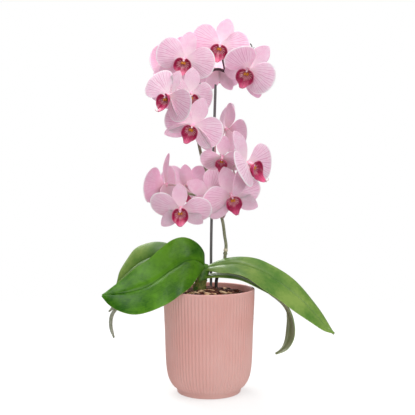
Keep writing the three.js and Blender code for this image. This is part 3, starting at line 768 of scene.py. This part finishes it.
# Each bloom: its heart, which way it faces and leans, and where its stalk leaves the spike. What
# sets it apart, in degrees: "left" and "right" raise a petal, lean it forward and twist its lower
# edge forward, "top" does so for the upper sepal, "low" for both lower ones, "tilt" for the lip,
# and "twist" turns the column and lip in the face. "size" scales the bloom, "sepals" its sepals
# and "lip" the lip's width, and "via" is a point that bends the stalk.
BLOOMS = [
    {"at": (15.4, 13, 475.2), "yaw": 0, "pitch": -1, "roll": 19, "twist": 7, "from": (22, 20, 440),
     "left": (-2, 14, 0), "right": (12, 0, 0), "low": (-14, -30, 0), "tilt": 2, "lip": 1.12},
    {"at": (-32, -8, 453), "yaw": -6, "roll": 11, "from": (-14, 15, 420),
     "left": (12, 0, 0), "right": (-3, 0, 0), "tilt": 7, "lip": 1.12},
    {"at": (53.6, -14, 438.8), "yaw": -16, "pitch": -3, "roll": 38, "size": 1.04, "twist": 24,
     "from": (36, 18, 436), "left": (25, 56, 0), "right": (4, 18, 0), "top": (-4, 0, 0),
     "low": (0, -20, 0), "tilt": 2, "lip": 1.12},
    {"at": (-49.5, -58, 400), "yaw": -42, "roll": 32, "size": 1.04, "twist": 34, "sepals": 0.85,
     "from": (-16, 12, 352), "via": (-38, -28, 370), "left": (8, 0, 30), "right": (-5, 2, 0),
     "top": (22, -12, 0), "low": (0, 0, 50), "tilt": 20},
    {"at": (-24.9, -29.5, 404.7), "yaw": 16, "roll": 8, "size": 0.92, "from": (-19, 13, 388),
     "right": (-2, -20, 0), "low": (0, -8, 0)},
    {"at": (-20, -48, 362), "yaw": -6, "roll": 20, "size": 0.99, "from": (-14, 13, 340),
     "left": (6, -4, 4), "right": (-5, 0, 0), "low": (0, 0, 40)},
    {"at": (24, 20, 361), "yaw": 125, "roll": -24, "from": (9, 18, 324),
     "left": (3, 8, 0), "right": (32, 22, 0)},
    {"at": (18, -14, 323), "yaw": -6, "pitch": -28, "roll": 8, "size": 0.76, "from": (8, 17, 314),
     "left": (-28, 0, 0), "right": (-12, 0, 0)},
    {"at": (47, -48, 313), "yaw": 54, "pitch": 3, "roll": -22, "size": 1.17, "twist": 4,
     "from": (36, -6, 297), "left": (4, 23, 16), "right": (-19, 14, 0), "tilt": 10},
    {"at": (29, -26, 271), "yaw": 7, "pitch": -4, "roll": -14, "from": (18, 22.6, 237), "via": (24, 6, 236),
     "left": (-3, 12, -28), "right": (-2, 0, -28)},
    {"at": (-37, -48, 254), "yaw": -4, "pitch": -3, "roll": -4, "sepals": 0.85,
     "from": (-34, 18, 272), "via": (-47, 4, 274), "left": (15, 0, -38), "right": (-8, 0, -36), "tilt": 20},
    {"at": (-58.5, 4, 284), "yaw": -104, "roll": 5, "size": 1.14, "from": (-36, 18, 272),
     "right": (6, 22, 12), "top": (0, -1, 0), "tilt": 20},
    {"at": (-33, 56, 282), "yaw": 165, "roll": 0, "sepals": 0.8, "from": (-24, 18, 270),
     "left": (20, 0, 0), "right": (20, 0, 0)},
    {"at": (0, 10, 272), "yaw": 8, "roll": -62, "size": 0.88, "from": (8, 20, 266)},
    {"at": (-45, 34, 453), "yaw": -155, "roll": -10, "from": (-20, 14, 403)},
    {"at": (15, 36, 444), "yaw": 180, "roll": 0, "size": 0.8, "from": (4, 20, 441),
     "left": (-20, 0, 0), "right": (-20, 0, 0), "top": (0, 60, 0), "low": (20, 0, 0), "tilt": 25},
]
AS_GROWN = (0, 0, 0)
SPIKE_PATH = [
    (10, 26, 112), (10, 26, 140), (11, 26, 152), (15, 26, 162), (21, 26, 174), (23, 26, 188),
    (24, 26, 198), (22, 25, 212), (19, 23, 233), (10, 20, 262), (-1, 18, 297), (-10, 16, 322),
    (-16, 12, 352), (-21, 12, 384), (-18, 14, 411), (-7, 18, 433), (6, 20, 442), (14, 20, 443),
    (22, 20, 440), (35, 18, 436),
]
BRANCH_PATHS = [
    [(1, 19, 292), (14, 20, 298), (29, 14, 300), (37, -7, 297)],
    [(0, 18, 292), (4, 17, 304), (8, 17, 314), (9, 18, 325)],
    [(11, 20, 258), (-6, 18, 264), (-22, 18, 270), (-38, 18, 273)],
]
TIP_PATH = [(35, 18, 436), (47, 19, 443), (56, 19, 456), (60, 19, 469), (58, 19, 477)]
SPIKE_RADIUS = 2.4
BRANCH_RADIUS = 1.7
PEDICEL_RADIUS = 1.3
SPIKE_POINTS = 170
BRANCH_POINTS = 30
DARK_STALKS_FROM = 430  # height from which the flower stalks are dark like the spike
STALK_POINTS = 25
TIP_POINTS = 40
TIP_BUDS = ((38, 1.0), (31, 0.8))  # point on the tip, and size
# Height and length of each sheath round the spike, and its skin.
SHEATHS = ((186, 3.4, SPIKE_SKIN), (189.5, 4.6, BRACT_PAPER), (262, 5, BRACT_PAPER), (352, 5, SPIKE_SKIN))


def bloom_matrix(bloom):
    """From a bloom laid out facing +Z, top towards +Y, heart at the origin, to its place."""
    size = bloom.get("size", 1)
    return (
        Matrix.Translation(Vector(bloom["at"]) * MM)
        @ Matrix.Rotation(math.radians(bloom["yaw"]), 4, "Z")
        @ Matrix.Rotation(math.radians(90 - bloom.get("pitch", 0)), 4, "X")
        @ Matrix.Rotation(math.radians(-bloom["roll"]), 4, "Z")
        @ Matrix.Scale(size, 4)
    )


def pedicel(bloom):
    """Flower stalk: bows out from the spike, thickens into the ovary and meets the heart."""
    place = bloom_matrix(bloom)
    end = place @ Vector((0, 0, (1 - HUB_RADIUS + 0.5) * MM)) / MM
    behind = place @ Vector((0, 0, -22 * MM)) / MM
    start = Vector(bloom["from"])
    points, radii = [], []
    for k in range(STALK_POINTS):
        t = k / (STALK_POINTS - 1)
        if "via" in bloom:
            via = Vector(bloom["via"])
            point = start * (1 - t) ** 3 + via * 3 * t * (1 - t) ** 2
            point += behind * 3 * t * t * (1 - t) + end * t**3
        else:
            point = start * (1 - t) ** 2 + behind * 2 * t * (1 - t) + end * t * t
        points.append(point)
        radii.append(PEDICEL_RADIUS * (0.85 + 0.35 * t + 0.12 * math.sin(t * 3.1)))
    skin = SPIKE_SKIN if start.z > DARK_STALKS_FROM else PEDICEL_SKIN
    return stem(points, radii, skin, sides=12)


def bract(at, ahead, radius, length, material):
    """Dry sheath that wraps a node: a short flared collar."""
    points = [at + ahead * length * share for share in (0, 0.15, 0.4, 0.7, 1)]
    radii = [radius + extra for extra in (0.2, 0.8, 1.0, 0.7, 0.25)]
    return stem(points, radii, material, sides=16)


def make_spike():
    """Arching flower stem with its nodes, side branches, stalks and unopened tip."""
    line = smooth_line(SPIKE_PATH, SPIKE_POINTS)
    radii = []
    for k, point in enumerate(line):
        radii.append(SPIKE_RADIUS * (1 - 0.22 * k / len(line)) + 0.08 * noise.noise(point * 0.08))
    parts = [stem(line, radii, SPIKE_SKIN, sides=20)]
    for path in BRANCH_PATHS:
        branch = smooth_line(path, BRANCH_POINTS)
        parts.append(stem(branch, [BRANCH_RADIUS] * BRANCH_POINTS, SPIKE_SKIN))
    tip = smooth_line(TIP_PATH, TIP_POINTS)
    slender = [1.1 - 0.4 * k / (TIP_POINTS - 1) + 0.25 * (k % 13 == 6) for k in range(TIP_POINTS)]
    parts.append(stem(tip, slender, SPIKE_SKIN, sides=12))
    for k, size in TIP_BUDS:
        side = Vector((1.2 if k % 2 else -1.0, 0, 1.0))
        bud = [tip[k] + side * out for out in (0, 0.8, 1.6, 2.2)]
        parts.append(stem(bud, [0.5, size * 0.8, size * 0.8, 0.2], SPIKE_SKIN, sides=12))
    for z, length, material in SHEATHS:
        k = min(range(1, SPIKE_POINTS - 1), key=lambda i: abs(line[i].z - z))
        ahead = (line[k + 1] - line[k - 1]).normalized()
        parts.append(bract(line[k], ahead, radii[k], length, material))
    for bloom in BLOOMS:
        parts.append(pedicel(bloom))
    return settle(joined("flower_spike_skin", parts), "spike", "flower_spike")


# ------------------------------------------------------------------ blooms


def standing(turn, pose):
    """How a tepal stands on the heart: turned in the bloom's face, leaned forward and twisted."""
    _, lean, twist = (math.radians(angle) for angle in pose)
    return Matrix.Rotation(turn, 3, "Z") @ Matrix.Rotation(-lean, 3, "Y") @ Matrix.Rotation(-twist, 3, "X")


def petal_reach(q):
    return 0.42 + 0.58 * (1 - abs(q) ** 2.2) ** 0.55


PETAL_RINGS, PETAL_CUTS = 18, 16
SEPAL_ROWS, SEPAL_COLUMNS = 20, 15


def petal_rows(side, bloom, draw):
    """Broad fan from a narrow claw, gently arched, with a soft wave along its edge."""
    pose = bloom.get("right" if side > 0 else "left", AS_GROWN)
    place = standing(math.radians(pose[0]), pose)
    shift = draw.uniform(0, 6.28)
    crease = draw.uniform(0.5, 1.1)
    rows = []
    for j in range(PETAL_RINGS):
        ring = 0.05 + 0.95 * (j / (PETAL_RINGS - 1)) ** 0.9
        row = []
        for i in range(2 * PETAL_CUTS + 1):
            q = math.sin(math.pi / 2 * (i / PETAL_CUTS - 1))
            turn = q * PETAL["spread"]
            far = ring * petal_reach(q)
            height = DOME["rise"] * far - DOME["fall"] * far * far
            height += DOME["wave"] * far * far * math.sin(3 * turn)
            height += 0.45 * ring**4 * math.sin(7 * turn + shift)
            height += 1.5 * ring * (1 - ring) * (1 - q * q)
            height -= crease * math.exp(-((q / 0.07) ** 2)) * ring * (1 - ring)
            reach = far * PETAL["length"]
            point = place @ Vector((reach * math.cos(turn), reach * math.sin(turn), height))
            row.append(Vector((side * point.x, point.y, point.z + PETAL["raised"])))
        rows.append(row[::-1] if side > 0 else row)
    return rows


def sepal_rows(form, turn, pose, bloom, draw):
    """Oval with a round tip, keeled a little along its middle vein."""
    place = standing(turn + math.radians(pose[0]), pose)
    size = bloom.get("sepals", 1)
    shift = draw.uniform(0, 6.28)
    rows = []
    for j in range(SEPAL_ROWS):
        t = max(0.03, math.sin(math.pi / 2 * j / (SEPAL_ROWS - 1)))
        half = max(0.3, size * form["width"] / 2 * math.sin(math.pi * min(1, t**1.12)) ** 0.64)
        row = []
        for i in range(SEPAL_COLUMNS):
            v = 2 * i / (SEPAL_COLUMNS - 1) - 1
            height = t - SEPAL_FALL * t * t + 0.008 * (v * half) ** 2
            height += 0.35 * math.sin(4 * t + shift) * v
            height -= 0.35 * math.exp(-((v / 0.12) ** 2)) * t * (1 - t)
            row.append(place @ Vector((form["length"] * size * t, -v * half, height)))
        rows.append(row)
    return rows


def make_column(twist):
    """Heart and column: the waxy post over the lip, with its cap, and under the cap a plug of lip
    flesh whose dark colour paints the shade of the hollow there.
    """
    select_only()
    bpy.ops.mesh.primitive_uv_sphere_add(segments=20, ring_count=12, radius=HUB_RADIUS * MM)
    hub = bpy.context.object
    hub.data.transform(Matrix.Translation((0, 0, 0.3 * MM)) @ Matrix.Diagonal((0.8, 0.8, 0.85, 1)))
    hub.data.materials.append(COLUMN_WAX)
    line = smooth_line([(0, 0, 1), (0, -0.3, 4), (0, -1.6, 7.5), (0, -3.8, 9.8)], 16)
    radii = [2.0, 1.9, 1.9, 1.9, 1.95, 2.0, 2.1, 2.2, 2.3, 2.45, 2.6, 2.7, 2.65, 2.4, 1.9, 1.2]
    post = stem(line, radii, COLUMN_WAX, sides=16)
    cap = stem([(0, -3.4, 10.2), (0, -4.2, 10.7), (0, -4.8, 10.6)], [1.3, 1.3, 0.6], CAP_WHITE, sides=12)
    # painted shade: a dark plug of lip flesh stands where the hollow under the cap is
    slot = stem([(0, -4.3, 9), (0, -5.3, 9.4), (0, -5.7, 9.3)], [1.5, 1.2, 0.5], LIP_FLESH, sides=12)
    column = joined("column", [hub, post, cap, slot])
    column.data.transform(Matrix.Rotation(math.radians(twist), 4, "Z"))
    return column


LIP_FOOT = Vector((0, -5.9, 6))
# The lip's edge from its right side to the tongue's tip: turn in degrees, reach and height.
LIP_EDGE = [
    (60, 4.4, 14.2), (43, 5.6, 15.2), (22, 7.6, 15.6), (2, 9.6, 15.3), (-15, 11.4, 14.6), (-29, 13, 13.5),
    (-41, 14.5, 12.4), (-52, 15.2, 11.6), (-62, 15.8, 11.4), (-70, 16.6, 12), (-76.5, 18.2, 13.2),
    (-82, 19.6, 14.6), (-87, 20.3, 15.4), (-90, 20.4, 15.6),
]
LIP_RINGS, LIP_EDGE_POINTS = 17, 81
TENDRIL_POINTS = 14


def lip_rows():
    """Cup open under the column: two side lobes that stand up and roll in, and a tongue between."""
    mirrored = [(-180 - turn, r, z) for turn, r, z in reversed(LIP_EDGE[:-1])]
    edge = smooth_line(LIP_EDGE + mirrored, LIP_EDGE_POINTS)
    rows = []
    for j in range(LIP_RINGS):
        share = j / (LIP_RINGS - 1)
        row = []
        for turn, reach, height in edge:
            turn = math.radians(turn)
            folded = turn if turn > -math.pi / 2 else -math.pi - turn
            side_lobe = max(0.0, math.cos((folded + 0.25) * 1.5))
            r = 1.3 + (reach - 1.3) * share
            r += side_lobe * (2.4 * math.sin(math.pi * share) - 1.1 * share**6)
            z = LIP_FOOT.z + (height - LIP_FOOT.z) * share**1.3
            tongue = math.exp(-(((turn + math.pi / 2) / 0.3) ** 2))
            keel = math.exp(-(((turn + math.pi / 2) / 0.1) ** 2))
            z += (1.2 * tongue - 0.7 * keel) * math.sin(math.pi * share)
            row.append(Vector((r * math.cos(turn), r * math.sin(turn) + LIP_FOOT.y, z)))
        rows.append(row[::-1])
    return rows


def make_lip(number, bloom):
    """Lip with its callus and the two curled tendrils at the tongue's tip."""
    parts = [sheet(lip_rows(), LIP_THICKNESS, [LIP_FLESH])]
    for side in (-1, 1):
        knob = [(0.9, -5.4, 6.8), (1.3, -6.8, 8.6), (1.5, -8.2, 10), (1.1, -9, 10.2)]
        knob = [(side * x, y, z) for x, y, z in knob]
        parts.append(stem(knob, [1.3, 1.8, 1.6, 0.6], CALLUS_YELLOW, sides=12))
        curl = [(0.7, -25.4, 15.6), (1.4, -26.2, 17.4), (2.4, -25.2, 19), (2.9, -23.4, 18.6)]
        curl = smooth_line([(side * x, y, z) for x, y, z in curl], TENDRIL_POINTS)
        thin = [0.42 - 0.02 * k for k in range(TENDRIL_POINTS)]
        parts.append(stem(curl, thin, LIP_FLESH, sides=8))
    lip = joined(f"lip_{number}_flesh", parts)
    foot = Matrix.Translation(LIP_FOOT * MM)
    wide = Matrix.Diagonal((bloom.get("lip", 1), 1, 1, 1))
    tilt = Matrix.Rotation(math.radians(-bloom.get("tilt", 0)), 4, "X")
    twist = Matrix.Rotation(math.radians(bloom.get("twist", 0)), 4, "Z")
    lip.data.transform(bloom_matrix(bloom) @ twist @ foot @ tilt @ foot.inverted() @ wide)
    settle(lip, "lip", "lip_" + number)


def make_bloom(number, bloom):
    """Five tepals in two layers round the heart."""
    draw = random.Random(int(number))
    skin = [PETAL_FACE, PETAL_BACK]
    upright = math.pi / 2
    top, low = bloom.get("top", AS_GROWN), bloom.get("low", AS_GROWN)
    low_right = (-low[0], low[1], -low[2])
    tepals = [
        sepal_rows(DORSAL, upright, top, bloom, draw),
        sepal_rows(LATERAL, -upright - LATERAL["angle"], low, bloom, draw),
        sepal_rows(LATERAL, -upright + LATERAL["angle"], low_right, bloom, draw),
        petal_rows(1, bloom, draw),
        petal_rows(-1, bloom, draw),
    ]
    parts = [sheet(rows, TEPAL_THICKNESS, skin) for rows in tepals]
    parts.append(make_column(bloom.get("twist", 0)))
    whole = joined(f"bloom_{number}_tepals", parts)
    whole.data.transform(bloom_matrix(bloom))
    settle(whole, "bloom", "bloom_" + number)


# ------------------------------------------------------------------ stage, light and camera


def make_stage():
    """Plain pale floor in a white surround: a large softbox overhead, a weak one by the camera
    and one behind. The floor thins out into the surround, so that no horizon shows."""
    material, tree = new_material("painted_studio_floor")
    place = add(tree, "TexCoord").outputs["Object"]
    roller = add(tree, "TexNoise", {"Vector": place, "Scale": 8.0, "Detail": 2.0})
    tone = add(tree, "Mix", {FACTOR: roller, MIX_A: "#CECECD", MIX_B: "#D4D4D3"})
    paint = add(tree, "BsdfPrincipled", {
        "Base Color": tone, "Roughness": 0.8,
        "Emission Color": (1, 1, 1, 1), "Emission Strength": 0.4,
    })
    reach = add(tree, "VectorMath", {0: place}, operation="LENGTH").outputs["Value"]
    solid = ramp(tree, reach, 0.9, 0.35, high=0.55)
    blend = add(tree, "MixShader", {0: solid, 1: add(tree, "BsdfTransparent"), 2: paint})
    add(tree, "OutputMaterial", {"Surface": blend})
    select_only()
    bpy.ops.mesh.primitive_circle_add(vertices=96, radius=1, fill_type="NGON", location=(0, 0, 0))
    floor = bpy.context.object
    floor.name = "studio_floor"
    floor.data.materials.append(material)

    world = bpy.data.worlds.new("soft_studio_surround")
    scene.world = world
    world.use_nodes = True
    seen = add(world.node_tree, "LightPath").outputs["Is Camera Ray"]
    strength = ramp(world.node_tree, seen, low=AMBIENT)
    background = world.node_tree.nodes["Background"]
    background.inputs["Color"].default_value = (1, 1, 1, 1)
    world.node_tree.links.new(strength.outputs[0], background.inputs["Strength"])
    for name, at, size, power in SOFTBOXES:
        lamp = bpy.data.lights.new(name, "AREA")
        lamp.shape = "SQUARE"
        lamp.size = size
        lamp.energy = power
        holder = bpy.data.objects.new(name, lamp)
        scene.collection.objects.link(holder)
        holder.location = at
        holder.rotation_euler = (LIT - Vector(at)).to_track_quat("-Z", "Y").to_euler()
    scene.view_settings.view_transform = "Standard"


def make_camera():
    data = bpy.data.cameras.new("photograph_camera")
    data.sensor_fit = "HORIZONTAL"
    data.sensor_width = 36
    data.lens = LENS_MM
    data.clip_start, data.clip_end = 0.05, 100
    camera = bpy.data.objects.new("photograph_camera", data)
    scene.collection.objects.link(camera)
    camera.location = Vector(CAMERA_AT) * MM
    camera.rotation_euler = (math.radians(90 - CAMERA_DOWN), 0, 0)
    scene.camera = camera


make_camera()
make_stage()
make_pot()
make_bark()
make_stem_base()
make_roots()
make_stake()
make_leaves()
make_spike()
for index, flower in enumerate(BLOOMS):
    label = f"{index + 1:02d}"
    make_bloom(label, flower)
    make_lip(label, flower)

select_only()
